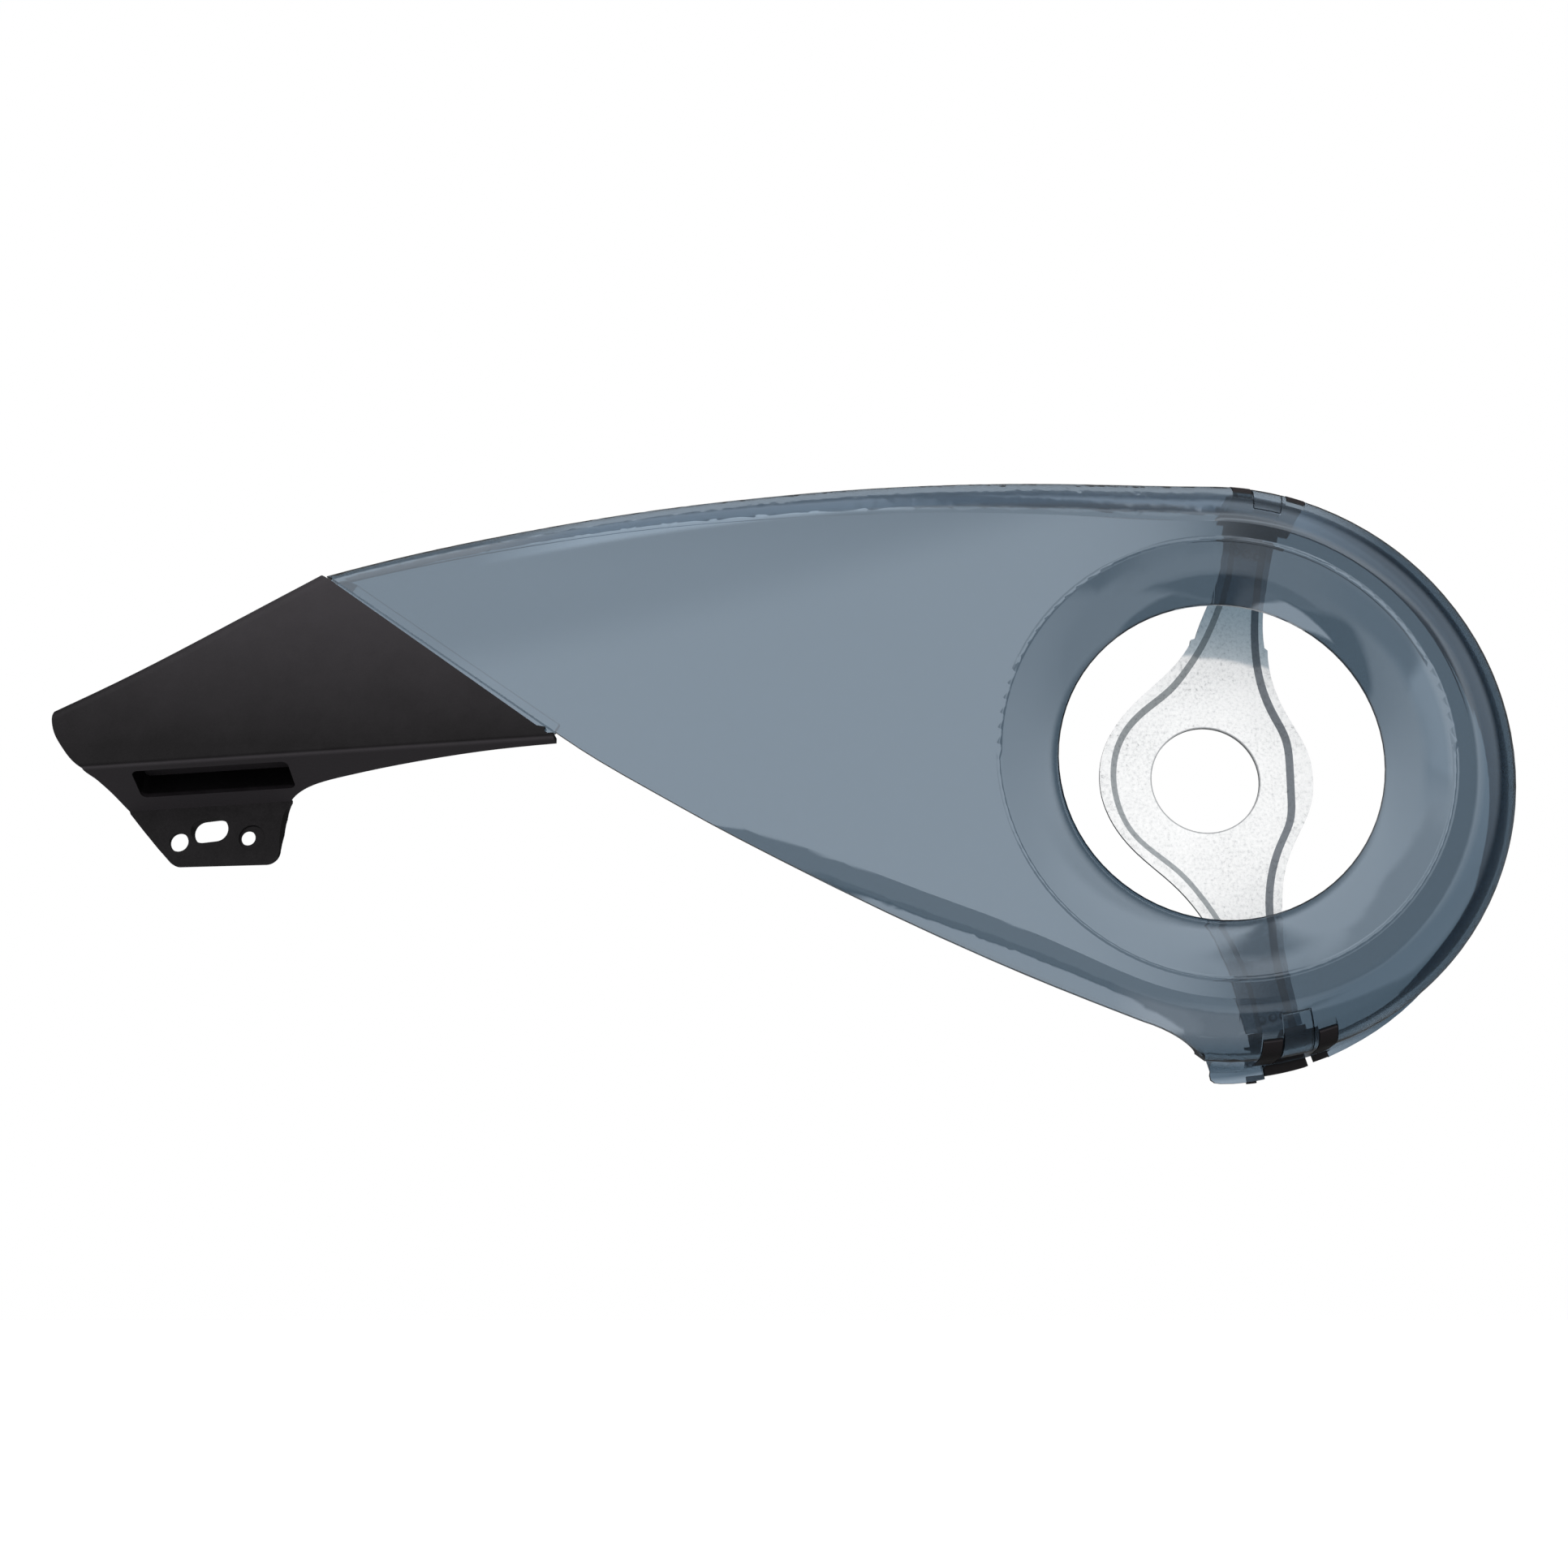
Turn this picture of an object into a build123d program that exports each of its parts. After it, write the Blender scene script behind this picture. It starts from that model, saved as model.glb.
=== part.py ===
from build123d import *
import math
import os

os.makedirs("parts", exist_ok=True)

# ---------------------------------------------------------------- dimensions, mm
# Frame: origin on the bottom-bracket axis in the plate's front plane,
# +X towards the front of the bicycle, +Y towards the frame, +Z up.
bore_d = 35.0  # clears the bottom-bracket thread

# shell
face_y = -35.3  # outer face of shell and tail
wall_t = 2.0
rim_r = 93.3  # rim, outside, where the corner round ends
rim_round = 17.3  # corner round between face and rim
rim_back_y = 0.6  # rear edge of the rim
rim_draft = 1.4  # growth of the rim towards its rear edge
ring_r = 71.2  # outside of the raised ring round the dish
ring_w = 1.9
ring_h = 0.15
dish_y = -27.3  # front of the opening's edge
opening_r = 50.8
edge_l = 1.0  # straight part of the opening's edge
clip_ang = 77.5  # clips sit at plus and minus this angle from +X

# stations along the upper edge, from the round end to the joint:
# X, height of the wall, corner round, depth of the wall behind the face
top_stations = [
    (0.0, 93.30, 17.3, 35.9),
    (-9.0, 93.35, 17.1, 35.0),
    (-22.0, 93.55, 16.7, 33.4),
    (-40.0, 93.80, 15.9, 31.2),
    (-60.0, 93.80, 15.0, 29.0),
    (-82.0, 93.20, 13.9, 26.6),
    (-105.0, 91.90, 12.8, 24.2),
    (-128.0, 89.90, 11.6, 21.6),
    (-152.0, 87.15, 10.4, 19.0),
    (-177.0, 83.70, 9.2, 16.4),
    (-203.0, 79.20, 8.1, 14.0),
    (-230.0, 73.80, 7.2, 12.2),
    (-256.0, 67.80, 6.4, 11.2),
    (-280.0, 61.30, 5.7, 10.6),
    (-300.0, 55.20, 5.3, 10.4),
]
low_dir = (-0.936, 0.351)  # direction of the straight lower side
low_ang = -110.5  # where that side leaves the round end
low_rounds = [  # X, corner round of the lower side
    (0.0, 17.3),
    (-9.0, 17.5),
    (-22.0, 18.0),
    (-40.0, 19.1),
    (-60.0, 20.8),
    (-82.0, 21.2),
    (-105.0, 21.4),
    (-128.0, 21.6),
    (-152.0, 21.0),
    (-177.0, 20.0),
    (-203.0, 19.0),
    (-230.0, 18.2),
    (-256.0, 17.6),
    (-280.0, 17.3),
    (-300.0, 17.3),
]

# lower edge of the shell, joint corner to the hook
lower_edge = [
    (-206.0, 6.4),
    (-190.9, -3.4),
    (-175.7, -12.2),
    (-160.61, -20.78),
    (-138.11, -32.65),
    (-108.46, -47.36),
    (-78.98, -60.96),
    (-49.75, -73.44),
    (-28.2, -82.1),
]
hook_edge = [
    (-28.2, -82.1),
    (-21.0, -84.9),
    (-14.9, -88.2),
    (-9.6, -91.9),
    (-5.6, -95.0),
]
joint_top = (-279.7, 58.2)  # shell's rear edge
joint_low = (-206.0, 6.4)
lip_gap = 0.15
lip_t = 1.5

# tail
tail_joint_top = (-281.4, 58.3)
tail_joint_low = (-208.2, 5.85)
tail_low_rear = (-354.8, -3.4)
tail_stations = [  # X, wall height, corner round, wall depth
    (-372.0, 12.55, 4.2, 9.0),
    (-358.4, 19.4, 4.3, 9.2),
    (-334.7, 31.9, 4.6, 9.6),
    (-310.9, 45.5, 5.0, 10.0),
    (-286.9, 59.3, 5.4, 10.4),
    (-262.0, 73.6, 5.6, 10.6),
    (-236.0, 88.6, 5.8, 10.8),
    (-203.0, 107.6, 6.0, 11.0),
]
tail_rear = [
    (-365.4, 15.5),
    (-365.3, 11.7),
    (-364.1, 7.5),
    (-361.5, 3.3),
    (-358.2, -0.8),
    (-354.8, -3.4),
]
tab_y = -15.0  # front of the chainstay tab
tab_t = 2.0
gusset_y = -9.2  # rear edge of the gusset along the tab's front side
gusset_t = 1.8
flange_drop = 10.0  # fall of the flange between face and tab
tab_hole_d = 6.1
tab_hole_at = (-329.2, -22.8)
screw_hole_d = 4.7
screw_hole_at = (-307.4, -21.4)
screw_sink_d = 8.3
screw_sink_h = 0.8
screw_sink_at = (-306.0, -21.5)
crease_r = 2.2
slot_l, slot_w = 12.0, 7.8
slot_at, slot_turn = (-319.7, -18.95), 7.0
slot_depth = 5.0  # with the collar behind the tab
pocket_a = (-20.5, 28.3)  # along the flange
pocket_b = (3.3, 16.2)  # down the flange
pocket_depth = 9.0

# plate
sheet_t = 1.5
pan_step = 1.7
step_run = 2.4


def at(r, t, side=1):
    """Point on an arm: r along the arm, t across it; side -1 is the lower arm."""
    a = math.radians(clip_ang)
    x = r * math.cos(a) + t * math.sin(a)
    z = r * math.sin(a) - t * math.cos(a)
    return (x, side * z)


def radial(deg):
    """Plane through the bottom-bracket axis: x along Y, y outwards at that angle."""
    a = math.radians(deg)
    return Plane(
        origin=(0, 0, 0), x_dir=(0, 1, 0), z_dir=(math.sin(a), 0, -math.cos(a))
    )


def facing(y):
    """Plane across the axis at depth y: x along X, y along Z, extruding to the viewer."""
    return Plane.XZ.offset(-y)


# ---------------------------------------------------------------- guard shell
def low_z(x):
    """Height of the lower wall at x."""
    xt = rim_r * math.cos(math.radians(low_ang))
    if x > xt:
        return -math.sqrt(rim_r**2 - x**2)
    zt = rim_r * math.sin(math.radians(low_ang))
    return zt + (x - xt) * low_dir[1] / low_dir[0]


with BuildPart() as body_left:
    for x, zt, rt, wt in top_stations:
        f, t, yb = face_y, wall_t, rim_back_y
        zb, rb = low_z(x), dict(low_rounds)[x]
        dt = rim_draft * max(0.0, wt - rt) / (rim_back_y - face_y - rim_round)
        c = math.sqrt(0.5)
        it, ib = rt - t, rb - t
        with BuildSketch(Plane.YZ.offset(x)):
            with BuildLine():
                Line((yb, zb - rim_draft), (f + rb, zb))
                ThreePointArc(
                    (f + rb, zb), (f + rb - rb * c, zb + rb - rb * c), (f, zb + rb)
                )
                Line((f, zb + rb), (f, zt - rt))
                ThreePointArc(
                    (f, zt - rt), (f + rt - rt * c, zt - rt + rt * c), (f + rt, zt)
                )
                Line((f + rt, zt), (f + wt, zt + dt))
                Line((f + wt, zt + dt), (f + wt, zt + dt - t))
                Line((f + wt, zt + dt - t), (f + rt, zt - t))
                ThreePointArc(
                    (f + rt, zt - t),
                    (f + rt - it * c, zt - rt + it * c),
                    (f + t, zt - rt),
                )
                Line((f + t, zt - rt), (f + t, zb + rb))
                ThreePointArc(
                    (f + t, zb + rb),
                    (f + rb - ib * c, zb + rb - ib * c),
                    (f + rb, zb + t),
                )
                Line((f + rb, zb + t), (yb, zb - rim_draft + t))
                Line((yb, zb - rim_draft + t), (yb, zb - rim_draft))
            make_face()
    loft()

with BuildPart() as body_round:
    with BuildSketch(Plane.YZ) as half:
        f, t, r0 = face_y, wall_t, rim_r - rim_round
        c = math.sqrt(0.5)
        ri = rim_round - t
        yc = f + rim_round
        with BuildLine():
            Line((f, 0), (f, r0))
            ThreePointArc(
                (f, r0),
                (yc - rim_round * c, r0 + rim_round * c),
                (yc, rim_r),
            )
            Line((yc, rim_r), (rim_back_y, rim_r + rim_draft))
            Line(
                (rim_back_y, rim_r + rim_draft), (rim_back_y, rim_r + rim_draft - t)
            )
            Line((rim_back_y, rim_r + rim_draft - t), (yc, rim_r - t))
            ThreePointArc(
                (yc, rim_r - t), (yc - ri * c, r0 + ri * c), (f + t, r0)
            )
            Line((f + t, r0), (f + t, 0))
            Line((f + t, 0), (f, 0))
        make_face()
    revolve(axis=Axis.Y, revolution_arc=180)

joint_len = math.dist(joint_top, joint_low)
joint_d = (
    (joint_low[0] - joint_top[0]) / joint_len,
    (joint_low[1] - joint_top[1]) / joint_len,
)


def joint(s, n):
    """Point s down the joint from its top and n into the shell."""
    return (
        joint_top[0] + s * joint_d[0] - n * joint_d[1],
        joint_top[1] + s * joint_d[1] + n * joint_d[0],
    )


# windows and slits, in degrees to either side of a clip's middle
# (negative: towards the rear of the bicycle)
windows = ((-7.75, -3.65), (3.45, 7.45))
window_y = (-30.1, -9.0)
slits = (-3.5, 2.55)
slit_w = 0.22
slit_h = 1.2  # the lines stop short of the inside
slit_arc = (18.5, 88.0)  # from the face, round the corner
slit_r = (81.4, 81.8)
notch = (-4.6, 8.3)
notch_y = -6.3

# flare of the rim's rear edge under the lower clip: angle, radius
flare = [
    (-90.0, 98.2),
    (-84.6, 98.05),
    (-78.0, 97.2),
    (-72.0, 96.4),
    (-66.0, 95.9),
    (-57.7, 95.5),
    (-48.0, 95.0),
    (-38.0, 94.3),
]

with BuildPart() as guard_shell:
    add(body_left.part)
    add(body_round.part)
    # the face gives way to the dish inside the ring
    with BuildSketch(facing(face_y + wall_t + 1.5)):
        Circle(ring_r - 0.6)
    extrude(amount=wall_t + 3.0, mode=Mode.SUBTRACT)
    with BuildSketch(Plane.YZ):
        f = face_y
        with BuildLine():
            Line((f + 1.9, ring_r + 0.6), (f + 0.1, ring_r + 0.2))
            ThreePointArc(
                (f + 0.1, ring_r + 0.2),
                (f - ring_h, ring_r - ring_w / 2),
                (f + 0.15, ring_r - ring_w - 0.1),
            )
            Spline(
                (f + 0.15, ring_r - ring_w - 0.1),
                (f + 1.8, 63.0),
                (f + 4.0, 57.0),
                (f + 5.85, 53.5),
                (dish_y, opening_r),
            )
            Polyline(
                (dish_y, opening_r),
                (dish_y + edge_l, opening_r),
                (dish_y + edge_l + 0.6, opening_r + 1.1),
            )
            Spline(
                (dish_y + edge_l + 0.6, opening_r + 1.1),
                (f + 7.6, 54.5),
                (f + 5.83, 57.8),
                (f + 3.7, 63.6),
                (f + 2.15, ring_r - ring_w + 0.3),
            )
            Line((f + 2.15, ring_r - ring_w + 0.3), (f + 1.9, ring_r + 0.6))
        make_face()
    revolve(axis=Axis.Y)
    # lower edge, hook and rear edge
    far = joint(-25.0, 0.0)
    with BuildSketch(facing(20.0)):
        with BuildLine():
            Line(far, joint_low)
            Spline(*lower_edge)
            Spline(*hook_edge)
            Polyline(
                hook_edge[-1],
                (-4.4, -97.2),
                (-3.6, -115.0),
                (-420.0, -115.0),
                (-420.0, far[1]),
                far,
            )
        make_face()
    extrude(amount=80.0, mode=Mode.SUBTRACT)
    # the rim runs out on a slant behind the hook
    with BuildSketch(Plane.XY.offset(-130.0)):
        with BuildLine():
            Polyline(
                (-7.8, -18.2), (-2.9, 1.6), (-40.0, 1.6), (-40.0, -18.2), close=True
            )
        make_face()
    extrude(amount=39.6, mode=Mode.SUBTRACT)
    # flared rear edge under the lower clip
    with BuildSketch(facing(0.45)):
        pts = [
            (r * math.cos(math.radians(d)), r * math.sin(math.radians(d)))
            for d, r in flare
        ]
        with BuildLine():
            Spline(*pts)
            Line(pts[-1], (73.3, -57.3))
            ThreePointArc((73.3, -57.3), (42.0, -83.0), (-3.0, -92.98))
            Polyline(
                (-3.0, -92.98), (-3.5, -95.6), (-3.2, -97.1), (-2.0, -97.95), pts[0]
            )
        make_face()
    extrude(amount=1.7)
    # windows, tongue outlines and rear notches for the clips
    for side in (1, -1):
        for lo, hi in windows:
            start = max(side * (clip_ang - lo), side * (clip_ang - hi))
            with BuildSketch(radial(start)):
                with Locations(((window_y[0] + window_y[1]) / 2, 92.0)):
                    Rectangle(window_y[1] - window_y[0], 18.0)
            revolve(axis=Axis.Y, revolution_arc=hi - lo, mode=Mode.SUBTRACT)
        for off in slits:
            with BuildSketch(radial(side * (clip_ang - off) + slit_w / 2)):
                yc, r0 = face_y + rim_round, rim_r - rim_round
                ri, ro = rim_round - slit_h, rim_round + 1.0
                a0, a1 = (math.radians(d) for d in slit_arc)
                am = (a0 + a1) / 2
                with BuildLine():
                    ThreePointArc(
                        (yc - ri * math.cos(a0), r0 + ri * math.sin(a0)),
                        (yc - ri * math.cos(am), r0 + ri * math.sin(am)),
                        (yc - ri * math.cos(a1), r0 + ri * math.sin(a1)),
                    )
                    Line(
                        (yc - ri * math.cos(a1), r0 + ri * math.sin(a1)),
                        (yc - ro * math.cos(a1), r0 + ro * math.sin(a1)),
                    )
                    ThreePointArc(
                        (yc - ro * math.cos(a1), r0 + ro * math.sin(a1)),
                        (yc - ro * math.cos(am), r0 + ro * math.sin(am)),
                        (yc - ro * math.cos(a0), r0 + ro * math.sin(a0)),
                    )
                    Line(
                        (yc - ro * math.cos(a0), r0 + ro * math.sin(a0)),
                        (yc - ri * math.cos(a0), r0 + ri * math.sin(a0)),
                    )
                make_face()
            revolve(axis=Axis.Y, revolution_arc=slit_w, mode=Mode.SUBTRACT)
        lo, hi = slits
        start = max(side * (clip_ang - lo), side * (clip_ang - hi))
        with BuildSketch(radial(start)):
            with Locations((-34.33 + slit_h - 2.0, (slit_r[0] + slit_r[1]) / 2)):
                Rectangle(4.0, slit_r[1] - slit_r[0])
        revolve(axis=Axis.Y, revolution_arc=hi - lo, mode=Mode.SUBTRACT)
        lo, hi = notch
        start = max(side * (clip_ang - lo), side * (clip_ang - hi))
        with BuildSketch(radial(start)):
            with Locations((notch_y + 4.0, 95.0)):
                Rectangle(8.0, 20.0)
        revolve(axis=Axis.Y, revolution_arc=hi - lo, mode=Mode.SUBTRACT)
    # stepped lip under the tail's edge
    lip_back = face_y + wall_t + lip_gap + lip_t
    with BuildSketch(facing(lip_back)):
        with BuildLine():
            Polyline(
                joint(-0.6, 1.2),
                joint(7.0, 2.8),
                joint(joint_len - 2.6, 2.8),
                joint(joint_len - 2.4, 0.0),
                joint(joint_len - 3.6, -1.5),
                joint(joint_len - 9.0, -1.7),
                joint(joint_len - 13.0, -7.5),
                joint(11.0, -7.5),
                joint(8.0, -4.0),
                joint(6.6, -0.85),
                joint(-0.9, -0.75),
                close=True,
            )
        make_face()
    extrude(amount=lip_t)
    with BuildSketch(facing(lip_back)):
        with BuildLine():
            Polyline(
                joint(7.6, 2.6),
                joint(joint_len - 2.8, 2.6),
                joint(joint_len - 2.7, 0.15),
                joint(7.6, 0.15),
                close=True,
            )
        make_face()
    extrude(amount=lip_t + lip_gap + 0.8)

guard_shell.part.label = "guard_shell"
export_step(guard_shell.part, "parts/guard_shell.step")

# ---------------------------------------------------------------- tail piece
tail_far = (
    tail_joint_top[0] + 0.254 * (tail_joint_top[0] - tail_joint_low[0]),
    tail_joint_top[1] + 0.254 * (tail_joint_top[1] - tail_joint_low[1]),
)
slope = (tail_joint_low[1] - tail_low_rear[1]) / (tail_joint_low[0] - tail_low_rear[0])
flange_o = Vector(-320.0, face_y, tail_low_rear[1] + slope * (-320.0 - tail_low_rear[0]))
flange_u = Vector(1.0, 0.0, slope).normalized()
flange_w = Vector(0.0, tab_y - face_y, -flange_drop)
flange_w = (flange_w - flange_u * flange_w.dot(flange_u)).normalized()
flange_len = math.hypot(tab_y - face_y, flange_drop)
flange_plane = Plane(
    origin=flange_o, x_dir=flange_u, z_dir=flange_u.cross(flange_w) * -1
)
flange_left = [
    (-34.9, 0.0),
    (-34.3, 2.0),
    (-32.4, 5.3),
    (-30.9, 8.6),
    (-29.6, 12.0),
    (-28.5, 15.3),
    (-27.5, 18.7),
    (-26.3, flange_len),
]
flange_right = [
    (25.3, flange_len),
    (27.9, 19.5),
    (31.6, 16.7),
    (38.4, 13.8),
    (44.9, 12.1),
    (54.6, 9.9),
    (67.3, 7.5),
    (79.8, 5.6),
    (92.2, 4.2),
    (104.5, 3.4),
    (112.6, 3.1),
]
tab_left = [
    (-294.1, -9.0),
    (-345.3, -12.2),
    (-345.6, -12.9),
    (-345.3, -13.7),
    (-340.95, -18.9),
    (-335.9, -24.7),
    (-331.8, -29.1),
]
tab_right = [
    (-297.0, -25.6),
    (-297.15, -19.6),
    (-297.0, -17.6),
    (-296.7, -15.5),
    (-296.2, -13.7),
    (-295.5, -11.9),
    (-294.1, -9.6),
]

with BuildPart() as tail_piece:
    for x, zt, rt, wt in tail_stations:
        f, t, tz = face_y, wall_t, wall_t * 1.16
        c = math.sqrt(0.5)
        it = rt - t
        low = -30.0
        with BuildSketch(Plane.YZ.offset(x)):
            with BuildLine():
                Line((f, low), (f, zt - rt))
                ThreePointArc(
                    (f, zt - rt), (f + rt - rt * c, zt - rt + rt * c), (f + rt, zt)
                )
                Line((f + rt, zt), (f + wt, zt))
                Line((f + wt, zt), (f + wt, zt - tz))
                Line((f + wt, zt - tz), (f + rt, zt - tz))
                ThreePointArc(
                    (f + rt, zt - tz),
                    (f + rt - it * c, zt - tz - it + it * c),
                    (f + t, zt - tz - it),
                )
                Line((f + t, zt - tz - it), (f + t, low))
                Line((f + t, low), (f, low))
            make_face()
    loft()
    with BuildSketch(facing(20.0)):
        with BuildLine():
            Polyline(tail_far, tail_joint_low, tail_low_rear)
            Spline(*reversed(tail_rear))
            Polyline(
                tail_rear[0],
                (tail_rear[0][0], 90.0),
                (tail_far[0], 90.0),
                tail_far,
            )
        make_face()
    extrude(amount=80.0, mode=Mode.INTERSECT)
    # turned-back lower flange
    with BuildSketch(flange_plane):
        with BuildLine():
            Spline(*[(a, -b) for a, b in flange_left])
            Line(
                (flange_left[-1][0], -flange_left[-1][1]),
                (flange_right[0][0], -flange_right[0][1]),
            )
            Spline(*[(a, -b) for a, b in flange_right])
            Polyline(
                (flange_right[-1][0], -flange_right[-1][1]),
                (111.9, 0.0),
                (flange_left[0][0], 0.0),
            )
        make_face()
    extrude(amount=-wall_t)
    # deep pocket above the tab, in a block on the flange's inner side
    with BuildSketch(flange_plane):
        a0, a1 = pocket_a[0] - 1.8, pocket_a[1] + 1.8
        b0, b1 = pocket_b[0] - 1.5, pocket_b[1] + 1.6
        with BuildLine():
            Polyline(
                (a0, -b0), (a1, -b0), (a1, 2.0 - b1), (a1 - 1.6, -b1), (a0, -b1), close=True
            )
        make_face()
    extrude(amount=-pocket_depth - 1.5)
    # chainstay tab
    with BuildSketch(facing(tab_y + tab_t)):
        with BuildLine():
            Polyline(*tab_left)
            ThreePointArc(tab_left[-1], (-330.6, -30.1), (-328.8, -30.6))
            Line((-328.8, -30.6), (-301.2, -29.9))
            ThreePointArc((-301.2, -29.9), (-298.2, -28.45), tab_right[0])
            Spline(*tab_right)
            Line(tab_right[-1], tab_left[0])
        make_face()
    extrude(amount=tab_t)
    # gusset along the tab's front side, falling away towards its foot
    with BuildSketch(facing(gusset_y)):
        with BuildLine():
            Spline(*tab_right)
            Spline(*[(x - gusset_t, z) for x, z in tab_right])
            Line(tab_right[0], (tab_right[0][0] - gusset_t, tab_right[0][1]))
            Line(tab_right[-1], (tab_right[-1][0] - gusset_t, tab_right[-1][1]))
        make_face()
    extrude(amount=gusset_y - tab_y)
    with BuildSketch(Plane.YZ.offset(-302.0)):
        with BuildLine():
            Polyline(
                (gusset_y + 0.5, -18.8),
                (tab_y + tab_t, -25.4),
                (tab_y + tab_t, -33.0),
                (gusset_y + 3.0, -33.0),
                (gusset_y + 3.0, -18.8),
                close=True,
            )
        make_face()
    extrude(amount=8.0, mode=Mode.SUBTRACT)
    with BuildSketch(Plane.YZ.offset(-302.0)):
        with BuildLine():
            Polyline(
                (gusset_y - 0.2, -14.2),
                (tab_y + tab_t + 0.2, -9.4),
                (tab_y + tab_t + 0.2, -6.0),
                (gusset_y + 3.0, -6.0),
                (gusset_y + 3.0, -14.2),
                close=True,
            )
        make_face()
    extrude(amount=10.0, mode=Mode.SUBTRACT)
    # collar behind the slot
    with BuildSketch(facing(tab_y + slot_depth)):
        with Locations(slot_at):
            SlotOverall(slot_l + 3.0, slot_w + 3.0, rotation=slot_turn)
    extrude(amount=slot_depth - 0.5)
    with BuildSketch(flange_plane):
        with Locations(
            ((pocket_a[0] + pocket_a[1]) / 2, -(pocket_b[0] + pocket_b[1]) / 2)
        ):
            RectangleRounded(
                pocket_a[1] - pocket_a[0], pocket_b[1] - pocket_b[0], 2.0
            )
    extrude(amount=-pocket_depth, mode=Mode.SUBTRACT)
    # round hole, screw hole with a shallow seat, slot
    with BuildSketch(facing(tab_y + slot_depth + 1.0)):
        with Locations(tab_hole_at):
            Circle(tab_hole_d / 2)
        with Locations(screw_hole_at):
            Circle(screw_hole_d / 2)
        with Locations(slot_at):
            SlotOverall(slot_l, slot_w, rotation=slot_turn)
    extrude(amount=slot_depth + 2.0, mode=Mode.SUBTRACT)
    with BuildSketch(facing(tab_y + slot_depth + 1.0)):
        with Locations(tab_hole_at):
            Circle(tab_hole_d / 2 + 0.4)
    extrude(amount=slot_depth + 1.0 - tab_t, mode=Mode.SUBTRACT)
    with BuildSketch(facing(tab_y + screw_sink_h)):
        with Locations(screw_sink_at):
            Circle(screw_sink_d / 2)
    extrude(amount=screw_sink_h + 1.0, mode=Mode.SUBTRACT)
    # soft corner between face and flange
    up_face = Vector(-flange_u.Z, 0.0, flange_u.X)
    wx, wy = flange_w.dot(up_face), -flange_w.Y
    run = crease_r * math.tan(math.acos(-wx) / 2)
    mid_r = math.hypot(run, crease_r)
    with BuildSketch(
        Plane(origin=flange_o - flange_u * 60.0, x_dir=up_face, z_dir=flange_u)
    ):
        with BuildLine():
            ThreePointArc(
                (run, 0.0),
                (run - crease_r * run / mid_r, crease_r * crease_r / mid_r - crease_r),
                (run * wx, run * wy),
            )
            Polyline(
                (run * wx, run * wy),
                (run * wx + 2.0 * wy, run * wy - 2.0 * wx),
                (-3.0, 2.0),
                (run, 2.0),
                (run, 0.0),
            )
        make_face()
    extrude(amount=200.0, mode=Mode.SUBTRACT)
    # small catch on the joint edge
    with BuildSketch(facing(face_y + wall_t - 0.1)):
        with BuildLine():
            Polyline(
                (-214.6, 9.6),
                (-213.6, 9.74),
                (-210.9, 9.3),
                (-211.3, 8.6),
                (-210.9, 7.7),
                (-212.0, 7.0),
                close=True,
            )
        make_face()
    extrude(amount=wall_t - 0.2)

tail_piece.part.label = "tail_piece"
export_step(tail_piece.part, "parts/tail_piece.step")

# ---------------------------------------------------------------- bracket plate
right_upper = [
    at(83.6, 8.3),
    (25.2, 75.6),
    (23.0, 66.0),
    (21.5, 57.0),
    (21.0, 47.4),
]
right_mid = [
    (22.2, 43.4),
    (23.35, 32.0),
    (25.95, 24.3),
    (29.7, 16.8),
    (33.1, 9.5),
    (34.5, 0.0),
    (33.1, -9.5),
    (29.7, -16.8),
    (25.95, -24.3),
    (23.35, -32.0),
    (22.0, -43.4),
    (21.6, -50.0),
    (22.0, -57.5),
    (23.2, -66.0),
    (25.2, -75.6),
    at(83.6, 8.3, -1),
]
left_lower = [
    at(83.6, -9.9, -1),
    (6.9, -76.0),
    (5.1, -67.7),
    (2.4, -59.3),
    (-1.9, -48.4),
    (-5.0, -43.4),
    (-11.2, -35.8),
    (-23.7, -24.2),
    (-29.8, -16.4),
    (-33.5, -8.0),
    (-34.6, 0.0),
    (-33.5, 8.0),
    (-29.8, 16.4),
    (-23.7, 24.2),
    (-11.2, 35.8),
    (-3.2, 45.9),
]
left_upper = [
    (-1.4, 47.7),
    (3.2, 59.0),
    (6.8, 67.5),
    (8.9, 76.0),
    at(83.6, -8.3),
]
# middle of the step between rim and pan
step_left = [
    at(90.0, -5.2, -1),
    (11.6, -76.0),
    (9.8, -67.0),
    (6.6, -57.5),
    (1.0, -45.6),
    (-3.9, -38.2),
    (-9.9, -31.0),
    (-18.0, -24.2),
    (-24.6, -17.6),
    (-28.6, -9.4),
    (-30.1, 0.4),
    (-28.9, 9.3),
    (-25.4, 16.6),
    (-19.0, 23.4),
    (-10.6, 30.2),
    (-4.6, 37.3),
    (0.9, 45.7),
    (6.9, 58.4),
    (10.0, 67.0),
    (11.8, 76.0),
    at(90.0, -5.2),
]
step_right = [
    at(90.0, 5.6),
    (22.3, 76.0),
    (20.3, 66.0),
    (19.1, 57.0),
    (18.5, 43.0),
    (20.2, 30.0),
    (23.4, 21.2),
    (26.6, 13.8),
    (27.5, 5.0),
    (27.4, -5.0),
    (26.6, -13.8),
    (23.4, -21.0),
    (20.2, -29.4),
    (18.4, -40.0),
    (18.5, -50.0),
    (19.4, -60.0),
    (20.5, -67.0),
    (22.3, -76.0),
    at(90.0, 5.6, -1),
]


def shifted(points, d):
    """The same run of points moved sideways by d, to the left of its direction."""
    out = []
    for i, (x, z) in enumerate(points):
        x0, z0 = points[max(0, i - 1)]
        x1, z1 = points[min(len(points) - 1, i + 1)]
        n = math.hypot(x1 - x0, z1 - z0)
        out.append((x - d * (z1 - z0) / n, z + d * (x1 - x0) / n))
    return out


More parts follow.
